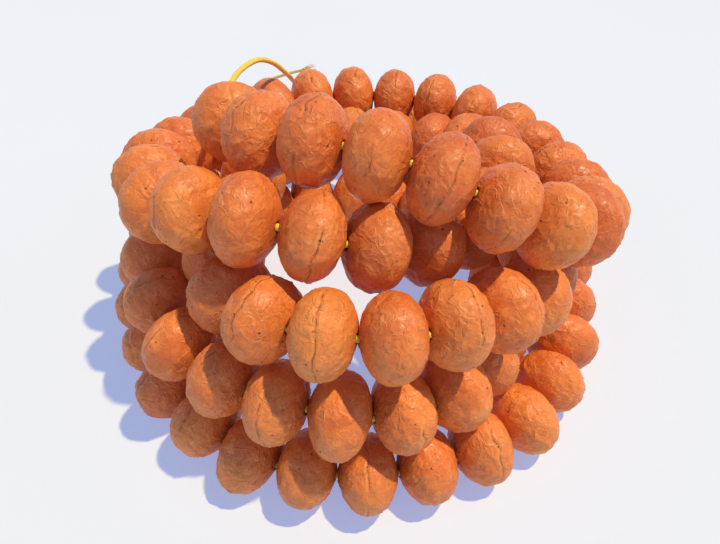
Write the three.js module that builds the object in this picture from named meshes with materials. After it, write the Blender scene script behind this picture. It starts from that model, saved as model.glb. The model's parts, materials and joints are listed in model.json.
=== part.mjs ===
// A mala: 108 bored seeds strung on one knotted cord, laid down as a pile of loose turns.
//
// Millimetres, +Z up, standing on z = 0. The cord is treated as a chain of equal links. One seed
// sits on each link, with its bore along the link. Seed 1 is the loose end on top of the pile and
// seed 108 is the other end, on the ground at the back, where the cord runs up to its knot.
import * as THREE from 'three';

const SEED_COUNT = 108;
const SEED_RADIUS = 7.0;
const SEED_THICKNESS = 9.9;
const SEED_SIDES = 8;
const SEED_LATITUDES = [-81, -49, -15, 15, 49, 81]; // degrees, where the profile has its corners
const LINK = 10.3; // seed thickness and the slack left beside it
const BORE_RADIUS = 1.1;
const CORD_RADIUS = 0.6;
const CORD_SIDES = 8;
const TOUCH_GAP = 0.3;

// The free cord: a loop from the top end over the back of the pile and down to the knot, and the
// return along the ground from the bottom end. The first and last points stand off the pieces they meet.
const LOOP_ROUTE = [
  [-27.5, 0.5, 41.5],
  [-28.5, 7.5, 39.5],
  [-28.3, 14.5, 38],
  [-27.3, 21, 37.8],
  [-24.8, 28, 36.5],
  [-22.6, 33, 33.2],
  [-20.3, 39, 26.8],
  [-19.8, 44, 22.2],
  [-18, 49, 16],
];
const KNOT_CENTRE = [-13, 53, 8];
const KNOT_RING = 1.6;
const KNOT_REACH = 2.9; // from the knot's centre to the cords that meet it
const TAIL_ROUTE = [
  [-19.5, 56, 10],
  [-25.5, 55, 13],
  [-26.7, 52, 17],
  [-22.5, 48.5, 21],
  [-16.8, 45, 25],
];
const TAIL_RADIUS = 0.5;
const LOOP_STEPS = 30;
const TAIL_STEPS = 16;
const RETURN_STEPS = 8;

// A resting seed stands on the flat of its eight-sided waist, not on a corner.
const WAIST_RADIUS = SEED_RADIUS * Math.cos(THREE.MathUtils.degToRad(15));
const REST_HEIGHT = WAIST_RADIUS * Math.cos(Math.PI / SEED_SIDES);

// The pile, from the top turn down: where the cord passes its left, front, right and back.
const LEAD_IN = [-1.5, 33, 45]; // the way the cord comes in to the first left
const LEAD_LENGTH = 5.7; // from the first left to the first link
const TURNS = [
  { left: [-26, 2, 43], front: [4.5, -23, 52], right: [39.5, -12.5, 31.5], back: [15.5, 40, 22] },
  { left: [-38, 11, 25], front: [-13.5, -31.5, 43], right: [26.5, -0.5, 27], back: [-3, 30.5, 17] },
  { left: [-24, -6, 23.5], front: [-2.5, -43.5, 37], right: [34.5, -9.5, 22], back: [-5.5, 20, 7] },
  { left: [-39, -12, 15.5], front: [2, -46.5, 21], right: [30.5, -3, 8], back: [5, 42, 7.5] },
  { left: [-41, 3, 7], front: [-8, -51, 7], right: [43.5, -8.5, 7], back: [-3, 62, 7] },
];
const ROUND_HANDLE = 0.276; // of the chord past a point: makes quarter arcs of a circle
const SHARPEST_BEND = 24; // degrees between neighbours, before their rims meet
const SETTLING_PASSES = 240;
const SINK_PER_PASS = 0.004;
const NEIGHBOUR_REACH = 2 * SEED_RADIUS + 1;

// Seeds joined into one solid, bore to bore, because they lie hidden in the pile. Counted from 0.
const JOINED_RUNS = [
  [17, 21],
  [30, 43],
  [51, 64],
  [72, 88],
  [100, 107],
];
const COLLAR_RADIUS = 2.2;
const JOINED_LATITUDES = [-52, -17, 17, 52];

const seedMaterial = new THREE.MeshStandardMaterial({ color: 0xc46f3c, roughness: 0.5, metalness: 0 });
const cordMaterial = new THREE.MeshStandardMaterial({ color: 0xf0b21c, roughness: 0.55, metalness: 0 });

function named(name, geometry, material) {
  const mesh = new THREE.Mesh(geometry, material);
  mesh.name = name;
  return mesh;
}

// ---- how the pile lies ----

function coilCurve() {
  const points = TURNS.flatMap((turn) => [turn.left, turn.front, turn.right, turn.back])
    .map((xyz) => new THREE.Vector3(...xyz));
  const curve = new THREE.CurvePath();
  for (let i = 0; i + 1 < points.length; i++) {
    const before = points[i - 1] ?? new THREE.Vector3(...LEAD_IN);
    const [from, to] = [points[i], points[i + 1]];
    const after = points[i + 2] ?? to.clone().multiplyScalar(2).sub(from);
    const leave = to.clone().sub(before).multiplyScalar(ROUND_HANDLE).add(from);
    const arrive = after.clone().sub(from).multiplyScalar(-ROUND_HANDLE).add(to);
    curve.add(new THREE.CubicBezierCurve3(from, leave, arrive, to));
  }
  return curve;
}

// Where one link ends and the next begins, at equal steps along the curve.
function linkEnds(curve) {
  const length = curve.getLength();
  return Array.from({ length: SEED_COUNT + 1 }, (_, i) => curve.getPoint((LEAD_LENGTH + i * LINK) / length));
}

const linkAxis = (ends, i) => ends[i + 1].clone().sub(ends[i]).normalize();
const linkMiddle = (ends, i) => ends[i].clone().add(ends[i + 1]).multiplyScalar(0.5);

// Distance from a seed's centre to its surface along a direction.
function seedReach(axis, direction) {
  const along = axis.dot(direction) ** 2;
  return 1 / Math.sqrt(along / (SEED_THICKNESS / 2) ** 2 + (1 - along) / SEED_RADIUS ** 2);
}

function pushSeedsApart(ends, middles, axes) {
  for (let i = 0; i < SEED_COUNT; i++) {
    for (let j = i + 2; j < SEED_COUNT; j++) {
      const between = middles[j].clone().sub(middles[i]);
      const distance = between.length();
      if (distance > NEIGHBOUR_REACH) continue;
      between.divideScalar(distance);
      const needed = seedReach(axes[i], between) + seedReach(axes[j], between) + TOUCH_GAP / 2;
      if (distance >= needed) continue;
      const push = between.multiplyScalar((needed - distance) / 2);
      for (const end of [ends[i], ends[i + 1], middles[i]]) end.sub(push);
      for (const end of [ends[j], ends[j + 1], middles[j]]) end.add(push);
    }
  }
}

function keepLinksOneLength(ends) {
  for (let i = 0; i < SEED_COUNT; i++) {
    const link = ends[i + 1].clone().sub(ends[i]);
    const pull = link.multiplyScalar((link.length() - LINK) / link.length() / 2);
    ends[i].add(pull);
    ends[i + 1].sub(pull);
  }
}

function openSharpBends(ends) {
  const mostSag = LINK * Math.sin(THREE.MathUtils.degToRad(SHARPEST_BEND / 2));
  for (let i = 1; i < SEED_COUNT; i++) {
    const sag = ends[i - 1].clone().add(ends[i + 1]).multiplyScalar(0.5).sub(ends[i]);
    const excess = 1 - mostSag / sag.length();
    if (excess <= 0) continue;
    sag.multiplyScalar(excess / 2);
    ends[i].add(sag);
    ends[i - 1].addScaledVector(sag, -0.5);
    ends[i + 1].addScaledVector(sag, -0.5);
  }
}

// Lets the pile sink a little and pushes touching seeds apart until it lies at rest.
function settle(ends) {
  for (let pass = 0; pass < SETTLING_PASSES; pass++) {
    const axes = Array.from({ length: SEED_COUNT }, (_, i) => linkAxis(ends, i));
    const middles = Array.from({ length: SEED_COUNT }, (_, i) => linkMiddle(ends, i));
    pushSeedsApart(ends, middles, axes);
    openSharpBends(ends);
    keepLinksOneLength(ends);
    for (const end of ends) end.z = Math.max(end.z - SINK_PER_PASS, REST_HEIGHT);
  }
}

// ---- seeds ----

function latheRing(corners) {
  const closed = [...corners, corners[0]];
  return new THREE.LatheGeometry(closed, SEED_SIDES, Math.PI / SEED_SIDES);
}

function seedGeometry() {
  const corners = SEED_LATITUDES.map((degrees) => {
    const angle = THREE.MathUtils.degToRad(degrees);
    const radius = SEED_RADIUS * Math.cos(angle);
    return new THREE.Vector2(Math.max(radius, BORE_RADIUS), SEED_THICKNESS / 2 * Math.sin(angle));
  });
  return latheRing(corners);
}

// Places a turned shape with its axis along the cord and one of its flats facing down.
function alongCord(position, axis) {
  const up = new THREE.Vector3(0, 0, 1);
  const radial = up.addScaledVector(axis, -axis.z).normalize();
  const side = axis.clone().cross(radial);
  return new THREE.Matrix4().makeBasis(side, axis, radial).setPosition(position);
}

function singleSeed(ends, i, geometry) {
  const seed = named(`seed_${String(i + 1).padStart(3, '0')}`, geometry, seedMaterial);
  alongCord(linkMiddle(ends, i), linkAxis(ends, i)).decompose(seed.position, seed.quaternion, seed.scale);
  return seed;
}

// Rings of a run's outline: around each seed, and around the short neck on each link end.
function outlineRings(ends, first, last) {
  const rings = [];
  for (let i = first; i <= last; i++) {
    const [middle, axis] = [linkMiddle(ends, i), linkAxis(ends, i)];
    if (i > first) {
      const bend = linkAxis(ends, i - 1).add(axis).normalize();
      rings.push({ centre: ends[i], axis: bend, radius: COLLAR_RADIUS });
    }
    for (const degrees of JOINED_LATITUDES) {
      const angle = THREE.MathUtils.degToRad(degrees);
      const centre = middle.clone().addScaledVector(axis, SEED_THICKNESS / 2 * Math.sin(angle));
      rings.push({ centre, axis, radius: SEED_RADIUS * Math.cos(angle) });
    }
  }
  return rings;
}

function boreRings(ends, first, last) {
  const faces = [first, last].map((i, k) => linkMiddle(ends, i)
    .addScaledVector(linkAxis(ends, i), (2 * k - 1) * SEED_THICKNESS / 2 * 0.97));
  const rings = [{ centre: faces[0], axis: linkAxis(ends, first), radius: BORE_RADIUS }];
  for (let i = first + 1; i <= last; i++) {
    const bend = linkAxis(ends, i - 1).add(linkAxis(ends, i)).normalize();
    rings.push({ centre: ends[i], axis: bend, radius: BORE_RADIUS });
  }
  rings.push({ centre: faces[1], axis: linkAxis(ends, last), radius: BORE_RADIUS });
  return rings;
}

// Seeds first to last as one body: out along the outline and back along the bore.
function joinedSeeds(ends, [first, last]) {
  const rings = [...outlineRings(ends, first, last), ...boreRings(ends, first, last).reverse()];
  const positions = [];
  for (const { centre, axis, radius } of rings) {
    const placed = alongCord(centre, axis);
    for (let k = 0; k < SEED_SIDES; k++) {
      const angle = 2 * Math.PI * (k + 0.5) / SEED_SIDES;
      const corner = new THREE.Vector3(radius * Math.sin(angle), 0, radius * Math.cos(angle));
      positions.push(...corner.applyMatrix4(placed).toArray());
    }
  }
  const index = [];
  rings.forEach((_, r) => {
    const [near, far] = [r * SEED_SIDES, (r + 1) % rings.length * SEED_SIDES];
    for (let k = 0; k < SEED_SIDES; k++) {
      const next = (k + 1) % SEED_SIDES;
      index.push(near + k, far + next, far + k, near + k, near + next, far + next);
    }
  });
  const geometry = new THREE.BufferGeometry();
  geometry.setAttribute('position', new THREE.Float32BufferAttribute(positions, 3));
  geometry.setIndex(index);
  const label = [first, last].map((i) => String(i + 1).padStart(3, '0')).join('_to_');
  return named(`seeds_${label}`, geometry, seedMaterial);
}

// ---- cord ----

function cordSection(radius) {
  const section = new THREE.Shape();
  for (let k = 0; k < CORD_SIDES; k++) {
    const angle = 2 * Math.PI * k / CORD_SIDES;
    const [x, y] = [radius * Math.cos(angle), radius * Math.sin(angle)];
    if (k === 0) section.moveTo(x, y);
    else section.lineTo(x, y);
  }
  section.closePath();
  return section;
}

function cordAlong(curve, steps, radius) {
  return new THREE.ExtrudeGeometry(cordSection(radius), { steps, extrudePath: curve, bevelEnabled: false });
}

function strungCord(ends) {
  const curve = new THREE.CurvePath();
  for (let i = 0; i < SEED_COUNT; i++) {
    curve.add(new THREE.LineCurve3(ends[i], ends[i + 1]));
  }
  return named('cord_strung', cordAlong(curve, SEED_COUNT, CORD_RADIUS), cordMaterial);
}

function freeCord(name, points, radius, steps) {
  return named(name, cordAlong(new THREE.CatmullRomCurve3(points), steps, radius), cordMaterial);
}

// The point on the knot's surface towards another point, and then the gap.
function besideKnot(towards) {
  const centre = new THREE.Vector3(...KNOT_CENTRE);
  return towards.clone().sub(centre).setLength(KNOT_REACH).add(centre);
}

const beyondEnd = (end, inside) => end.clone().sub(inside).setLength(TOUCH_GAP).add(end);

function loopCord(ends) {
  const route = LOOP_ROUTE.map((xyz) => new THREE.Vector3(...xyz));
  const start = beyondEnd(ends[0], ends[1]);
  return freeCord('cord_loop', [start, ...route, besideKnot(route.at(-1))], CORD_RADIUS, LOOP_STEPS);
}

function tailCord() {
  const route = TAIL_ROUTE.map((xyz) => new THREE.Vector3(...xyz));
  return freeCord('cord_tail', [besideKnot(route[0]), ...route], TAIL_RADIUS, TAIL_STEPS);
}

function returnCord(ends) {
  const start = beyondEnd(ends[SEED_COUNT], ends[SEED_COUNT - 1]);
  const onward = ends[SEED_COUNT].clone().sub(ends[SEED_COUNT - 1]).setLength(5).add(start);
  return freeCord('cord_return', [start, onward, besideKnot(onward)], CORD_RADIUS, RETURN_STEPS);
}

function knot() {
  const mesh = named('cord_knot', new THREE.TorusKnotGeometry(KNOT_RING, 0.5, 40, 6, 2, 3), cordMaterial);
  mesh.position.set(...KNOT_CENTRE);
  return mesh;
}

const ends = linkEnds(coilCurve());
settle(ends);

const mala = new THREE.Group();
const seedShape = seedGeometry();
for (let i = 0; i < SEED_COUNT; i++) {
  const joined = JOINED_RUNS.some(([first, last]) => i >= first && i <= last);
  if (!joined) mala.add(singleSeed(ends, i, seedShape));
}
for (const run of JOINED_RUNS) {
  mala.add(joinedSeeds(ends, run));
}
mala.add(strungCord(ends), loopCord(ends), knot(), tailCord(), returnCord(ends));

export default mala;
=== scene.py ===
"""A mala: 108 wrinkled, bored seeds on a yellow cord, lying as a pile of loose turns.

Metres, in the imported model's frame. The camera and the free cords come first, then the seeds, the
light and the floor. A seed's place and bore direction come from the cord that runs through it.
"""

import json
import math

import bpy
import numpy as np
from mathutils import Matrix, Vector


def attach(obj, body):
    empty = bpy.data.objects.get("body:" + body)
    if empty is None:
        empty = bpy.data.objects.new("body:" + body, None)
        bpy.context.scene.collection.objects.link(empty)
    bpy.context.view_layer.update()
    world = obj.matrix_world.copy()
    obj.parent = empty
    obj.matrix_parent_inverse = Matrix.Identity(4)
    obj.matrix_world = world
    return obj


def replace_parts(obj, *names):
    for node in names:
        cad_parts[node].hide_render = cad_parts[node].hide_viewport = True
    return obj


MM = 0.001
FULLNESS = 2.16  # 2 is an ellipsoid, and more is a seed with flatter ends
SEED_HALF_SIZE = (7.0, 7.0, 4.83)  # mm, the last along the bore
MOUTH_RADIUS = 0.9  # mm
MOUTH_RISE = 0.36  # mm, how far the rim of the bore stands out
MOUTH_SPREAD = 1.8  # mm, how far out the rise reaches
BORE_RADIUS = 0.8  # mm
SPLIT_SEEDS = (3, 5, 15, 16, 26, 50, 68, 91, 95, 97)  # their seam shows as a pitted line
CORD_RADIUS = 0.6 * MM
TAIL_RADIUS = 0.5 * MM

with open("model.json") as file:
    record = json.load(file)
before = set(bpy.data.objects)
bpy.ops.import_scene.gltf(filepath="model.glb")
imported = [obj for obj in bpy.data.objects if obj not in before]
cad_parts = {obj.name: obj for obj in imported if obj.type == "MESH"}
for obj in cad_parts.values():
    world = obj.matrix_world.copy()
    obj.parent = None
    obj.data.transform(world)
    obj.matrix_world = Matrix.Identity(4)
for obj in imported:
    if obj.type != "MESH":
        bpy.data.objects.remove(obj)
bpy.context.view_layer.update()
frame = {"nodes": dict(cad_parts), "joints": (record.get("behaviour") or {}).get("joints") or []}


def unit(vector):
    return vector / np.linalg.norm(vector)


# ---------------------------------------------------------------- camera

CAMERA_PLACE = (2.3 * MM, -100.0 * MM, 110.8 * MM)
CAMERA_DOWN = math.radians(47.4)
CAMERA_TILT = math.radians(3.8)
CAMERA_LENS = 32.84  # mm, before a sensor 36 mm wide
CAMERA_SHIFT = -10 / 720  # of the picture's width


def add_camera():
    forward = Vector((0, math.cos(CAMERA_DOWN), -math.sin(CAMERA_DOWN)))
    level_right = Vector((1, 0, 0))
    level_up = level_right.cross(forward)
    right = math.cos(CAMERA_TILT) * level_right + math.sin(CAMERA_TILT) * level_up
    up = right.cross(forward)
    data = bpy.data.cameras.new("camera")
    data.lens = CAMERA_LENS
    data.sensor_width = 36
    data.shift_x = CAMERA_SHIFT
    data.clip_start = 1 * MM
    camera = bpy.data.objects.new("camera", data)
    axes = Matrix((right, up, -forward)).transposed().to_4x4()
    camera.matrix_world = Matrix.Translation(CAMERA_PLACE) @ axes
    bpy.context.collection.objects.link(camera)
    bpy.context.scene.camera = camera


add_camera()


# ---------------------------------------------------------------- meshes

def add_mesh(name, vertices, faces, material, body, layers):
    """A smooth mesh that rides a body, with vector layers for its material, given as {name: values}."""
    mesh = bpy.data.meshes.new(name)
    mesh.from_pydata(np.asarray(vertices).tolist(), [], faces)
    mesh.materials.append(material)
    mesh.polygons.foreach_set("use_smooth", [True] * len(mesh.polygons))
    for label, values in layers.items():
        mesh.attributes.new(label, "FLOAT_VECTOR", "POINT").data.foreach_set("vector", np.ravel(values))
    piece = bpy.data.objects.new(name, mesh)
    bpy.context.collection.objects.link(piece)
    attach(piece, body)
    return piece


def ring_faces(rings, sides, closed=False):
    """Quads between each ring of points and the next."""
    near = np.arange(rings if closed else rings - 1)[:, None] * sides
    far = (near + sides) % (rings * sides)
    side = np.arange(sides)[None, :]
    after = (side + 1) % sides
    return np.stack([near + side, near + after, far + after, far + side], axis=-1).reshape(-1, 4)


# ---------------------------------------------------------------- noise

def lattice(cells, seed):
    """A repeatable number from 0 to 1 for each whole-number cell."""
    x, y, z = (cells[..., k].astype(np.int64).astype(np.uint64) for k in range(3))
    mixed = x * np.uint64(73856093) ^ y * np.uint64(19349663) ^ z * np.uint64(83492791)
    mixed = (mixed ^ np.uint64(seed * 2654435761 + 97)) * np.uint64(0x9E3779B97F4A7C15)
    mixed = (mixed ^ (mixed >> np.uint64(29))) * np.uint64(0xBF58476D1CE4E5B9)
    return ((mixed >> np.uint64(40)) & np.uint64(0xFFFF)).astype(float) / 65535


def noise(points, seed=0):
    """Smooth noise from -1 to 1, with features about one unit across."""
    cell = np.floor(points)
    part = points - cell
    fade = part ** 3 * (part * (part * 6 - 15) + 10)
    total = np.zeros(len(points))
    for corner in range(8):
        offset = np.array([corner & 1, corner >> 1 & 1, corner >> 2 & 1])
        weight = np.prod(np.where(offset, fade, 1 - fade), axis=1)
        total += weight * lattice(cell + offset, seed)
    return 2 * total - 1


def step(low, high, value):
    t = np.clip((value - low) / (high - low), 0, 1)
    return t * t * (3 - 2 * t)


# ---------------------------------------------------------------- materials

class Nodes:
    """A short way to write a material's node tree."""

    def __init__(self, name):
        self.material = bpy.data.materials.new(name)
        self.material.use_nodes = True
        self.tree = self.material.node_tree
        self.shader = self.tree.nodes["Principled BSDF"]

    def add(self, kind, settings=None, **inputs):
        node = self.tree.nodes.new(kind)
        for key, value in (settings or {}).items():
            setattr(node, key, value)
        for key, value in inputs.items():
            self.plug(node, key.replace("_", " "), value)
        return node

    def plug(self, node, socket, value):
        target = node.inputs[int(socket) if socket.isdigit() else socket]
        if isinstance(value, bpy.types.NodeSocket):
            self.tree.links.new(value, target)
        else:
            target.default_value = value

    def attribute(self, name):
        return self.add("ShaderNodeAttribute", {"attribute_name": name})

    def noise(self, where, scale, detail=3.0, roughness=0.55, distortion=0.0):
        return self.add("ShaderNodeTexNoise", Vector=where, Scale=scale, Detail=detail,
                        Roughness=roughness, Distortion=distortion).outputs["Fac"]

    def ramp(self, value, *stops):
        """stops are (position, colour or grey level) pairs."""
        node = self.add("ShaderNodeValToRGB", Fac=value)
        elements = node.color_ramp.elements
        while len(elements) < len(stops):
            elements.new(0.5)
        for element, (position, colour) in zip(elements, stops):
            element.position = position
            element.color = (*colour, 1) if isinstance(colour, tuple) else (colour, colour, colour, 1)
        return node.outputs["Color"]

    def mix(self, factor, first, second, blend="MIX"):
        node = self.add("ShaderNodeMix", {"data_type": "RGBA", "blend_type": blend})
        for label, value in (("Factor", factor), ("A", first), ("B", second)):
            socket = node.inputs[label]
            if isinstance(value, bpy.types.NodeSocket):
                self.tree.links.new(value, socket)
            else:
                socket.default_value = (*value, 1) if isinstance(value, tuple) else value
        return next(o for o in node.outputs if o.type == "RGBA")

    def scaled(self, where, scale, shift=(0, 0, 0)):
        """Places stretched by a different amount along each axis."""
        return self.add("ShaderNodeMapping", Vector=where, Scale=scale, Location=shift).outputs["Vector"]

    def math(self, operation, first, second=0.0):
        node = self.add("ShaderNodeMath", {"operation": operation}, **{"0": first, "1": second})
        return node.outputs["Value"]

    def cell_edges(self, where):
        """How far from the nearest border between irregular cells one unit across."""
        return self.add("ShaderNodeTexVoronoi", {"feature": "DISTANCE_TO_EDGE"}, Vector=where,
                        Scale=1.0).outputs["Distance"]

    def smooth(self, value, low, high):
        """0 where the value is low and 1 where it is high, with a soft edge between."""
        return self.add("ShaderNodeMapRange", {"interpolation_type": "SMOOTHSTEP"}, Value=value,
                        From_Min=low, From_Max=high).outputs["Result"]

    def line(self, field, at, width):
        """1 where the field has the value at, falling to 0 at that width on each side."""
        return self.smooth(self.math("ABSOLUTE", self.math("SUBTRACT", field, at)), width, 0.0)

    def total(self, *terms):
        """The sum of (weight, value) terms."""
        result = self.math("MULTIPLY", terms[0][1], terms[0][0])
        for weight, value in terms[1:]:
            result = self.add("ShaderNodeMath", {"operation": "MULTIPLY_ADD"},
                              **{"0": value, "1": weight, "2": result}).outputs["Value"]
        return result

    def bump(self, height, strength, distance):
        node = self.add("ShaderNodeBump", Height=height, Strength=strength, Distance=distance)
        return node.outputs["Normal"]

    def finish(self, **inputs):
        for key, value in inputs.items():
            self.plug(self.shader, key.replace("_", " "), value)
        return self.material


def seed_material():
    """Lacquered seed shell.

    "grain" is a place on the seed in mm. "seam" holds the distance to the seam in mm, how open the seam
    is, and how wrinkled the shell is there. The third layer holds how reddened, how tanned and how near the
    bore the place is; inside the bore it holds how deep the painted shade is."""
    n = Nodes("seed_shell")
    grain = n.attribute("grain").outputs["Vector"]
    seam_at = n.add("ShaderNodeSeparateXYZ", Vector=n.attribute("seam").outputs["Vector"])
    off_seam, opened, busy = seam_at.outputs
    tone_and_shade = n.add("ShaderNodeSeparateXYZ", Vector=n.attribute("tone_and_shade").outputs["Vector"])
    reddened, tanned, near_bore = tone_and_shade.outputs

    # Wrinkles: soft pillows parted by creases, coarse and fine, each only on a part of the shell.
    drift = n.add("ShaderNodeTexNoise", Vector=grain, Scale=0.34, Detail=1.0).outputs["Color"]
    bent = n.add("ShaderNodeVectorMath", {"operation": "MULTIPLY_ADD"},
                 **{"0": drift, "1": (5.0, 5.0, 5.0), "2": grain}).outputs["Vector"]
    coarse_cells = n.cell_edges(n.scaled(bent, (0.21, 0.21, 0.42)))
    fine_cells = n.cell_edges(n.scaled(bent, (0.46, 0.46, 0.92)))
    calm = n.math("SUBTRACT", 1.0, n.math("MULTIPLY", busy, 0.65))
    coarse_part = n.smooth(n.noise(grain, 0.33, 2), 0.44, 0.60)
    fine_part = n.math("MULTIPLY", n.smooth(n.noise(grain, 0.40, 2), 0.50, 0.64), busy)
    pillow = n.math("MULTIPLY", n.smooth(coarse_cells, 0.0, 0.42), coarse_part)
    small_pillow = n.math("MULTIPLY", n.smooth(fine_cells, 0.0, 0.36), fine_part)
    gaps = n.smooth(n.noise(grain, 0.75, 1), 0.40, 0.60)
    coarse_gaps = n.math("MULTIPLY", coarse_part, gaps)
    fine_gaps = n.math("MULTIPLY", fine_part, gaps)
    crease = n.math("MULTIPLY", n.smooth(coarse_cells, 0.060, 0.0), coarse_gaps)
    small_crease = n.math("MULTIPLY", n.smooth(fine_cells, 0.080, 0.0), fine_gaps)

    # Raised veins and folds, as soft lines where a bent noise passes one value.
    vein_field = n.noise(n.scaled(bent, (0.46, 0.46, 0.26)), 1.0, 1.2, 0.4)
    fold_field = n.noise(n.scaled(bent, (0.26, 0.26, 0.44), (9, 5, 2)), 1.0, 1.2, 0.4)
    vein = n.math("MULTIPLY", n.line(vein_field, 0.50, 0.045), busy)
    fold = n.math("MULTIPLY", n.line(fold_field, 0.50, 0.040), calm)

    # The seam, and the pits along it, near the bore, and a few elsewhere.
    broken = n.smooth(n.noise(grain, 0.9, 2), 0.36, 0.56)
    seam = n.math("MULTIPLY", n.line(off_seam, 0.0, 0.15), n.math("MULTIPLY", opened, broken))
    seam_lips = n.math("MULTIPLY", n.line(n.math("ABSOLUTE", off_seam), 0.45, 0.34), opened)
    beside_seam = n.math("MULTIPLY", n.line(off_seam, 0.0, 0.9), opened)
    cells = n.add("ShaderNodeTexVoronoi", Vector=grain, Scale=0.95, Randomness=0.9)
    chance = n.add("ShaderNodeSeparateColor", Color=cells.outputs["Color"]).outputs["Red"]
    wanted = n.total((0.50, beside_seam), (0.20, near_bore))
    chosen = n.math("GREATER_THAN", n.math("ADD", wanted, 0.05), chance)
    pit = n.math("MULTIPLY", n.smooth(cells.outputs["Distance"], 0.24, 0.04), chosen)
    small_cells = n.add("ShaderNodeTexVoronoi", Vector=grain, Scale=2.1, Randomness=1.0)
    small_chance = n.add("ShaderNodeSeparateColor", Color=small_cells.outputs["Color"]).outputs["Green"]
    pore = n.math("MULTIPLY", n.smooth(small_cells.outputs["Distance"], 0.34, 0.10),
                  n.math("LESS_THAN", small_chance, 0.12))

    # Colour: blotches, the seed's own tone, painted shade in the seam, creases, pores, pits and bore, and
    # paler ridges that are partly wear and partly painted highlight.
    blotch = n.noise(grain, 0.22, 4, 0.55, 0.6)
    base = n.ramp(blotch, (0.32, (0.69, 0.155, 0.026)), (0.50, (0.82, 0.214, 0.038)),
                  (0.68, (0.91, 0.285, 0.055)))
    colour = n.mix(reddened, base, (0.62, 0.110, 0.024))
    colour = n.mix(tanned, colour, (0.90, 0.320, 0.064))
    fleck = n.ramp(n.noise(grain, 2.4, 4, 0.65), (0.36, 0.88), (0.60, 1.04))
    colour = n.mix(1.0, colour, fleck, "MULTIPLY")
    # Painted shade: darker in the seam, the creases, the pores, towards the bore's mouth and inside the
    # bore.
    painted_shade = n.total((0.50, seam), (0.26, crease), (0.18, small_crease), (0.35, pore), (0.40, near_bore))
    colour = n.mix(n.smooth(painted_shade, 0.0, 1.2), colour, (0.30, 0.050, 0.016))
    # Paler veins, folds, seam lips and pillows: partly wear, partly painted highlight on the raised parts.
    pale = n.total((0.20, vein), (0.18, fold), (0.12, seam_lips), (0.08, pillow))
    colour = n.mix(pale, colour, (0.97, 0.440, 0.140))
    # Painted shade in the pits.
    colour = n.mix(n.math("MULTIPLY", pit, 0.75), colour, (0.15, 0.028, 0.012))
    graze = n.noise(n.scaled(bent, (0.9, 1.7, 0.9)), 1.2, 6, 0.72)
    colour = n.mix(n.math("MULTIPLY", n.smooth(graze, 0.66, 0.76), 0.30), colour, (0.97, 0.560, 0.270))

    # Relief in mm, from the wrinkles down to the pores of the lacquer.
    fine = n.noise(grain, 2.2, 5, 0.60, 0.3)
    height = n.total((0.13, pillow), (0.06, small_pillow), (-0.05, crease), (-0.04, small_crease),
                     (0.06, vein), (0.06, fold), (-0.15, seam), (0.05, seam_lips), (-0.20, pit),
                     (-0.07, pore), (0.08, fine), (0.10, n.noise(bent, 0.6, 1)),
                     (0.07, n.noise(grain, 1.3, 2)))
    gloss = n.ramp(n.noise(grain, 1.3, 3), (0.3, 0.40), (0.7, 0.54))
    return n.finish(Base_Color=colour, Roughness=gloss, Normal=n.bump(height, 1.0, MM), Coat_Weight=0.07,
                    Coat_Roughness=0.20, Specular_IOR_Level=0.42)


BRAID_STRANDS = 4
BRAID_PITCH = 0.9  # mm


def cord_material(name, colour, shade_and_tone):
    """Braided nylon. "lay" runs in mm along the cord, and in turns round it."""
    n = Nodes(name)
    lay = n.attribute("lay").outputs["Vector"]
    along, around = n.add("ShaderNodeSeparateXYZ", Vector=lay).outputs[:2]
    turns = n.math("MULTIPLY", around, 2 * math.pi * BRAID_STRANDS)
    run = n.math("MULTIPLY", along, 2 * math.pi / BRAID_PITCH)
    one_way = n.math("SINE", n.math("ADD", turns, run))
    other_way = n.math("SINE", n.math("SUBTRACT", turns, run))
    braid = n.math("MULTIPLY", one_way, other_way)
    uneven = n.noise(lay, 1.4, 3)
    # Darker in the valleys between the braid's strands, a painted shade, and unevenly toned along the cord.
    thread = n.ramp(n.math("ADD", n.math("MULTIPLY", braid, 0.25), uneven), (0.25, shade_and_tone), (0.75, colour))
    return n.finish(Base_Color=thread, Roughness=0.42, Normal=n.bump(braid, 0.5, 0.05 * MM),
                    Sheen_Weight=0.25, Sheen_Roughness=0.4)


def glowing_floor_material():
    # The floor glows blue of its own, a painted light that lifts and blues its shadows and lights the seeds
    # from below. Its yellowish colour offsets the glow, so the sunlit floor reads white.
    n = Nodes("floor")
    where = n.add("ShaderNodeTexCoord").outputs["Object"]
    pale = n.ramp(n.noise(where, 9.0, 2), (0.3, (0.53, 0.52, 0.350)), (0.7, (0.545, 0.535, 0.365)))
    return n.finish(Base_Color=pale, Roughness=0.9, Specular_IOR_Level=0.1,
                    Emission_Color=(0.405, 0.555, 1.0, 1), Emission_Strength=0.55)


SHELL = seed_material()
CORD = cord_material("cord_nylon", (1.0, 0.74, 0.085), (0.96, 0.60, 0.045))
FRAYED = cord_material("cord_frayed", (0.98, 0.80, 0.32), (0.95, 0.66, 0.16))


# ---------------------------------------------------------------- cords

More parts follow.
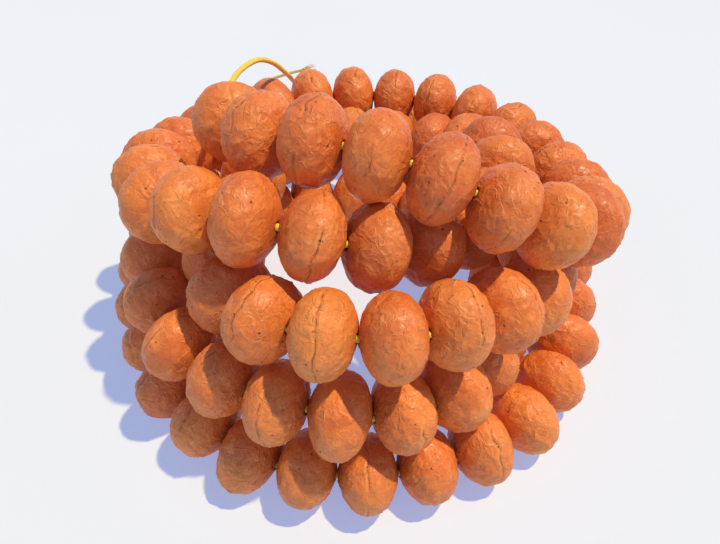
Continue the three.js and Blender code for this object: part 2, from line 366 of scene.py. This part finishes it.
def rounded_route(points, spacing=0.35 * MM):
    """The centripetal Catmull-Rom curve through the points, as closely spaced points."""
    points = np.array(points, float)
    first, last = 2 * points[0] - points[1], 2 * points[-1] - points[-2]
    padded = np.vstack([first, points, last])
    route = []
    for a, b, c, d in zip(padded, padded[1:], padded[2:], padded[3:]):
        gaps = [math.sqrt(np.linalg.norm(q - p)) for p, q in ((a, b), (b, c), (c, d))]
        leave = ((b - a) / gaps[0] - (c - a) / (gaps[0] + gaps[1]) + (c - b) / gaps[1]) * gaps[1]
        reach = ((c - b) / gaps[1] - (d - b) / (gaps[1] + gaps[2]) + (d - c) / gaps[2]) * gaps[1]
        t = np.linspace(0, 1, max(2, int(np.linalg.norm(c - b) / spacing)), endpoint=False)[:, None]
        route.append((2 * t ** 3 - 3 * t ** 2 + 1) * b + (t ** 3 - 2 * t ** 2 + t) * leave
                     + (3 * t ** 2 - 2 * t ** 3) * c + (t ** 3 - t ** 2) * reach)
    return np.vstack(route + [points[-1:]])


def cord_frames(route):
    """Tangent and two turning-free cross directions at each point of a route."""
    tangents = np.gradient(route, axis=0)
    tangents /= np.linalg.norm(tangents, axis=1, keepdims=True)
    across = np.zeros_like(tangents)
    across[0] = unit(np.cross(tangents[0], [0.3, 0.2, 1.0]))
    for k in range(1, len(route)):
        across[k] = unit(across[k - 1] - tangents[k] * across[k - 1].dot(tangents[k]))
    return tangents, across, np.cross(tangents, across)


TWIST = 2.6 * MM  # the run of cord in which a strand goes once round
VALLEY_DEPTH = 0.055  # of the radius


def tube(name, route, radius, material, sides=16):
    """A laid cord: a tube with shallow valleys between its strands. radius may vary along it."""
    tangents, across, other = cord_frames(route)
    run = np.concatenate([[0], np.cumsum(np.linalg.norm(np.diff(route, axis=0), axis=1))])
    radius = np.broadcast_to(radius, len(route))
    angle = 2 * math.pi * np.arange(sides) / sides
    strand = np.cos(BRAID_STRANDS * (angle[None] - 2 * math.pi * run[:, None] / TWIST))
    valley = 1 - VALLEY_DEPTH * (0.5 - 0.5 * strand)
    out = across[:, None] * np.cos(angle)[None, :, None] + other[:, None] * np.sin(angle)[None, :, None]
    vertices = route[:, None] + out * (radius[:, None] * valley)[..., None]
    faces = ring_faces(len(route), sides).tolist()
    faces += [list(range(sides))[::-1], list(range((len(route) - 1) * sides, len(route) * sides))]
    lay = np.stack([np.repeat(run / MM, sides), np.tile(angle / (2 * math.pi), len(route)),
                    np.zeros(len(route) * sides)], axis=1)
    return add_mesh(name, vertices.reshape(-1, 3), faces, material, "mala", {"lay": lay})


def strung_links():
    """Where one link of the strung cord ends and the next begins, from the top end of the string.

    The CAD cord has a ring of corners at each such place, and long straight edges in between."""
    mesh = frame["nodes"]["cord_strung"].data
    corners = np.array([v.co for v in mesh.vertices])
    ring_of, rings = np.zeros(len(corners), int), []
    for k, corner in enumerate(corners):
        if rings:
            away = np.linalg.norm(np.array([np.mean(r, axis=0) for r in rings]) - corner, axis=1)
            if away.min() < 3 * CORD_RADIUS:
                ring_of[k] = int(away.argmin())
                rings[ring_of[k]].append(corner)
                continue
        ring_of[k] = len(rings)
        rings.append([corner])
    centres = np.array([np.mean(np.unique(np.round(r, 7), axis=0), axis=0) for r in rings])
    joined = {k: set() for k in range(len(rings))}
    for edge in mesh.edges:
        a, b = (int(ring_of[v]) for v in edge.vertices)
        if a != b:
            joined[a].add(b)
            joined[b].add(a)
    top_seed = next(j for j in frame["joints"] if j["name"] == "seed_001_turn")
    loose_ends = [k for k in joined if len(joined[k]) == 1]
    here = min(loose_ends, key=lambda k: np.linalg.norm(centres[k] - top_seed["pos_m"]))
    order, before = [here], None
    while len(order) < len(rings):
        following = next(k for k in joined[here] if k != before)
        order.append(following)
        before, here = here, following
    return centres[order]


links = strung_links()

LOOP_ROUTE = [
    (-27.5, 0.5, 41.5), (-28.5, 7.5, 39.5), (-28.3, 14.5, 38.0), (-27.3, 21.0, 37.8), (-24.8, 28.0, 36.5),
    (-22.6, 33.0, 33.2), (-20.3, 39.0, 26.8), (-19.8, 44.0, 22.2), (-18.0, 49.0, 16.0),
]
TAIL_ROUTE = [
    (-19.5, 56.0, 10.0), (-25.5, 55.0, 13.0), (-26.7, 52.0, 17.0), (-22.5, 48.5, 21.0), (-16.8, 45.0, 25.0),
]
KNOT_CENTRE = np.array((-13.0, 53.0, 8.0)) * MM
KNOT_SIZE = np.array((0.66, 0.66, 0.78)) * MM  # about a sixth of the width of its turns' path
KNOT_REACH = 2.9 * MM  # how far from its centre the cords go in
TIGHT_RADIUS = 0.56 * MM  # the cord's, drawn tight in the knot
RETURN_BOW = 5.3 * MM  # how far the return cord goes on past the last seed


def beside_knot(point):
    return KNOT_CENTRE + unit(np.array(point) - KNOT_CENTRE) * KNOT_REACH


def beyond_end(end, inside, distance=0.3 * MM):
    return end + unit(end - inside) * distance


def knot():
    """An overhand knot's three crossing turns, drawn tight."""
    t = np.linspace(0, 2 * math.pi, 180, endpoint=False)
    around = np.stack([np.sin(t) + 2 * np.sin(2 * t), np.cos(t) - 2 * np.cos(2 * t), -np.sin(3 * t)], axis=1)
    route = KNOT_CENTRE + around * KNOT_SIZE
    piece = tube("knot_turns", np.vstack([route, route[:1]]), TIGHT_RADIUS, CORD)
    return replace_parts(piece, "cord_knot")


FILAMENTS = 46
FILAMENT_POINTS = 7
FILAMENT_RADIUS = 0.045 * MM


def frayed_tip(end, heading):
    """Loose filaments fanning out from the cut end of the tail."""
    rng = np.random.default_rng(7)
    vertices, faces = [], []
    side = unit(np.cross(heading, (0, 0, 1)))
    up = np.cross(side, heading)
    corners = (side, up * 0.87 - side * 0.5, -up * 0.87 - side * 0.5)
    for _ in range(FILAMENTS):
        angle, spread = rng.uniform(0, 2 * math.pi), rng.uniform(0.1, 1.0) ** 0.7
        out = side * math.cos(angle) + up * math.sin(angle)
        reach = rng.uniform(2.2, 4.6) * MM
        start = end - heading * 1.2 * MM + out * TAIL_RADIUS * 0.75 * spread
        t = np.linspace(0, 1, FILAMENT_POINTS)[:, None]
        curl = rng.normal(0, 0.16, 3) * MM
        line = start + heading * reach * t + out * spread * 0.85 * MM * t ** 1.6 + curl * np.sin(3 * t)
        width = FILAMENT_RADIUS * (1 - 0.6 * t)
        faces += (ring_faces(FILAMENT_POINTS, len(corners)) + len(vertices)).tolist()
        for point, w in zip(line, width[:, 0]):
            vertices += [point + corner * w for corner in corners]
    lay = np.zeros((len(vertices), 3))
    return add_mesh("tail_fibres", vertices, faces, FRAYED, "mala", {"lay": lay})


def add_cords():
    strung = tube("strung_cord", rounded_route(links, 0.9 * MM), CORD_RADIUS, CORD, sides=12)
    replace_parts(strung, "cord_strung")

    tied = knot()
    start = beyond_end(links[-1], links[-2])
    onward = beyond_end(links[-1], links[-2], RETURN_BOW)
    back = rounded_route([start, onward, beside_knot(onward)])
    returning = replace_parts(tube("return_cord", back, CORD_RADIUS, CORD), "cord_return")

    loop_points = [beyond_end(links[0], links[1])] + [np.array(p) * MM for p in LOOP_ROUTE]
    loop = rounded_route(loop_points + [beside_knot(loop_points[-1])])
    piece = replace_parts(tube("loop_cord", loop, CORD_RADIUS, CORD), "cord_loop")

    tail_points = [np.array(p) * MM for p in TAIL_ROUTE]
    tail = rounded_route([beside_knot(tail_points[0])] + tail_points)
    taper = TAIL_RADIUS * np.linspace(1, 0.7, len(tail))
    fray = frayed_tip(tail[-1], unit(tail[-1] - tail[-4]))
    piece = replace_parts(tube("tail_cord", tail, taper, FRAYED), "cord_tail")


add_cords()


# ---------------------------------------------------------------- seeds

SINGLE_MESH, SINGLE_QUICK_MESH = (150, 66), (96, 44)  # points round a seed, and rings along it
JOINED_MESH, JOINED_QUICK_MESH = (96, 46), (72, 34)
BORE_SEAM = (9.0, 0.0, 0.5)  # what "seam" says in the bore: far from the seam, closed, half wrinkled
# How much painted shade the inside of the bore gets.
BORE_PAINTED_SHADE = 1.6


def seed_shell(number, around, along):
    """One seed's surface points in its own axes, in mm, bore along Z, with what its material reads."""
    rng = np.random.default_rng(1000 + number)
    turn = np.linspace(0, 2 * math.pi, around, endpoint=False)
    edge = math.acos((MOUTH_RADIUS / SEED_HALF_SIZE[0]) ** (FULLNESS / 2))
    tilt = np.linspace(-edge, edge, along)
    tilt_all, turn_all = np.repeat(tilt, around), np.tile(turn, along)
    wide = np.cos(tilt_all) ** (2 / FULLNESS)
    high = np.sign(tilt_all) * np.abs(np.sin(tilt_all)) ** (2 / FULLNESS)
    ball = np.stack([wide * np.cos(turn_all), wide * np.sin(turn_all), high], axis=1)
    size = np.array(SEED_HALF_SIZE)
    grain = ball * size + rng.uniform(-40, 40, 3)

    # Overall shape: slightly egg-shaped and lumpy.
    egg = 0.042 * np.cos(turn_all - rng.uniform(0, 2 * math.pi))
    egg += 0.024 * np.cos(2 * (turn_all - rng.uniform(0, 2 * math.pi)))
    lumps = 0.022 * noise(grain * 0.30, 3) + 0.014 * noise(grain * 0.62, 5)
    radial = 0.995 + egg - np.abs(lumps) + rng.uniform(-0.02, 0.02)

    # The seam runs round the seed across its bore, open here and closed there.
    wander = 0.11 * np.sin(turn_all + rng.uniform(0, 2 * math.pi)) + 0.09 * noise(grain * 0.45, 11)
    off_seam = (tilt_all - wander) * 5.0
    opened = step(0.0, 0.45, noise(grain * 0.22 + 9, 17) + rng.uniform(-0.35, 0.30)
                  + 0.5 * (number in SPLIT_SEEDS))
    busy = step(-0.35, 0.30, noise(grain * 0.24 + 31, 41) + rng.uniform(-0.30, 0.30))
    near_bore = step(math.radians(58), math.radians(78), np.abs(tilt_all))

    # Relief in mm, inwards: the seam and its lips, dents, bent folds, and the rim of the bore.
    depth = 0.08 * opened * np.exp(-(off_seam / 0.30) ** 2)
    depth -= 0.03 * opened * np.exp(-((np.abs(off_seam) - 0.8) / 0.4) ** 2)
    depth += (0.12 * noise(grain * 0.80, 69) + 0.06 * busy * noise(grain * 1.4, 71)) * (1 - near_bore)
    bent = grain * (0.40, 0.40, 0.62) + 0.9 * noise(grain * 0.45, 23)[:, None]
    folds = np.exp(-(noise(bent, 29) / 0.09) ** 2) * step(-0.3, 0.3, noise(grain * 0.3, 47))
    depth -= 0.13 * folds
    depth += 0.03 * near_bore * (1 + noise(grain * 1.7, 81))
    surface = ball * size
    surface[:, :2] *= radial[:, None]
    from_bore = np.hypot(surface[:, 0], surface[:, 1])
    surface[:, 2] += np.sign(tilt_all) * MOUTH_RISE * np.exp(-(from_bore / MOUTH_SPREAD) ** 2)
    outward = np.sign(ball) * np.abs(ball) ** (FULLNESS - 1) / size
    outward /= np.linalg.norm(outward, axis=1, keepdims=True)
    surface -= outward * depth[:, None]
    return surface, grain, np.stack([off_seam, opened, busy], axis=1), near_bore


def bore_rings(surface, around):
    """Rings down the inside of the bore, from the last ring of the shell back to the first."""
    first, last = surface[:around], surface[-around:]
    direction = last[:, :2] / np.linalg.norm(last[:, :2], axis=1, keepdims=True)
    height_top, height_bottom = last[:, 2].mean(), first[:, 2].mean()
    rings = []
    for z in (height_top - 0.25, height_top - 1.2, height_bottom + 1.2, height_bottom + 0.25):
        rings.append(np.column_stack([direction * BORE_RADIUS, np.full(around, z)]))
    return np.vstack(rings)


def seed_place(number):
    """The seed's centre, and a rotation that takes its own Z along the cord."""
    near, far = links[number - 1], links[number]
    along = unit(far - near)
    side = unit(np.cross(along, (0, 0, 1)))
    spin = np.random.default_rng(number).uniform(-0.5, 0.5) + math.pi / 2
    radial = np.cross(side, along)
    across = side * math.cos(spin) + radial * math.sin(spin)
    return (near + far) / 2, np.column_stack([across, np.cross(along, across), along])


def stand_on_floor(points, middle):
    """Flattens the lower half of a seed that would reach below the floor. middle is its centre's height."""
    reach = middle - points[:, 2].min()
    if reach > middle:
        lower = points[:, 2] < middle
        points[lower, 2] = middle + (points[lower, 2] - middle) * middle / reach
    return points


def seed_tone(number):
    """How reddened and how tanned a seed is."""
    rng = np.random.default_rng(500 + number)
    redness = max(0.0, rng.normal(0.26, 0.22))
    return min(redness, 0.75), min(max(0.0, rng.normal(0.10, 0.16)), 0.55)


def add_seeds(name, numbers, body, node, around, along):
    vertices, faces, grains, seams, tones = [], [], [], [], []
    for number in numbers:
        surface, grain, seam, near_bore = seed_shell(number, around, along)
        bore = bore_rings(surface, around)
        centre, axes = seed_place(number)
        points = np.vstack([surface, bore])
        faces.append(ring_faces(len(points) // around, around, closed=True) + sum(map(len, vertices)))
        vertices.append(stand_on_floor(points * MM @ axes.T + centre, centre[2]))
        grains.append(np.vstack([grain, bore + grain.mean(axis=0)]))
        seams.append(np.vstack([seam, np.tile(BORE_SEAM, (len(bore), 1))]))
        # Inside the bore the third value is painted shade; on the shell it is how near the bore.
        tone_and_shade = np.tile((*seed_tone(number), BORE_PAINTED_SHADE), (len(points), 1))
        tone_and_shade[:len(surface), 2] = near_bore
        tones.append(tone_and_shade)
    layers = {"grain": np.vstack(grains), "seam": np.vstack(seams), "tone_and_shade": np.vstack(tones)}
    piece = add_mesh(name, np.vstack(vertices), np.vstack(faces).tolist(), SHELL, body, layers)
    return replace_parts(piece, node)


def add_all_seeds():
    for node in sorted(frame["nodes"]):
        parts = node.split("_")
        if parts[0] == "seed":
            mesh = SINGLE_MESH
            add_seeds(f"shell_{parts[1]}", [int(parts[1])], f"{node}_body", node, *mesh)
        elif parts[0] == "seeds":
            mesh = JOINED_MESH
            numbers = range(int(parts[1]), int(parts[3]) + 1)
            add_seeds(f"shells_{parts[1]}_to_{parts[3]}", numbers, "mala", node, *mesh)


add_all_seeds()


# ---------------------------------------------------------------- floor and light

SUN_ENERGY = 3.25
SUN_COLOUR = (1.0, 0.86, 0.58)
SUN_ANGLE = math.radians(1.6)  # how soft its shadows are
SUN_HEADING = (-0.37, -0.11, -1.0)
HAZE = (0.80, 0.83, 0.90, 1)
SKY = (0.20, 0.26, 0.50, 1)


def add_floor():
    half = 1.5
    corners = [(-half, -half, 0), (half, -half, 0), (half, half, 0), (-half, half, 0)]
    mesh = bpy.data.meshes.new("floor")
    mesh.from_pydata(corners, [], [(0, 1, 2, 3)])
    mesh.materials.append(glowing_floor_material())
    floor = bpy.data.objects.new("floor", mesh)
    bpy.context.collection.objects.link(floor)


def add_daylight():
    """A blue sky that pales to haze at the horizon. Each ramp position is a height on a unit sphere."""
    world = bpy.data.worlds.new("daylight")
    world.use_nodes = True
    tree = world.node_tree
    direction = tree.nodes.new("ShaderNodeTexCoord").outputs["Generated"]
    parts = tree.nodes.new("ShaderNodeSeparateXYZ")
    ramp = tree.nodes.new("ShaderNodeValToRGB")
    haze, sky = ramp.color_ramp.elements
    haze.position, haze.color = 0.06, HAZE
    sky.position, sky.color = 0.30, SKY
    tree.links.new(direction, parts.inputs["Vector"])
    tree.links.new(parts.outputs["Z"], ramp.inputs["Fac"])
    tree.links.new(ramp.outputs["Color"], tree.nodes["Background"].inputs["Color"])
    bpy.context.scene.world = world
    bpy.context.scene.view_settings.view_transform = "Standard"


def add_sun():
    data = bpy.data.lights.new("sun", "SUN")
    data.energy = SUN_ENERGY
    data.color = SUN_COLOUR
    data.angle = SUN_ANGLE
    sun = bpy.data.objects.new("sun", data)
    sun.rotation_euler = Vector(SUN_HEADING).to_track_quat("-Z", "Y").to_euler()
    bpy.context.collection.objects.link(sun)


add_floor()
add_daylight()
add_sun()
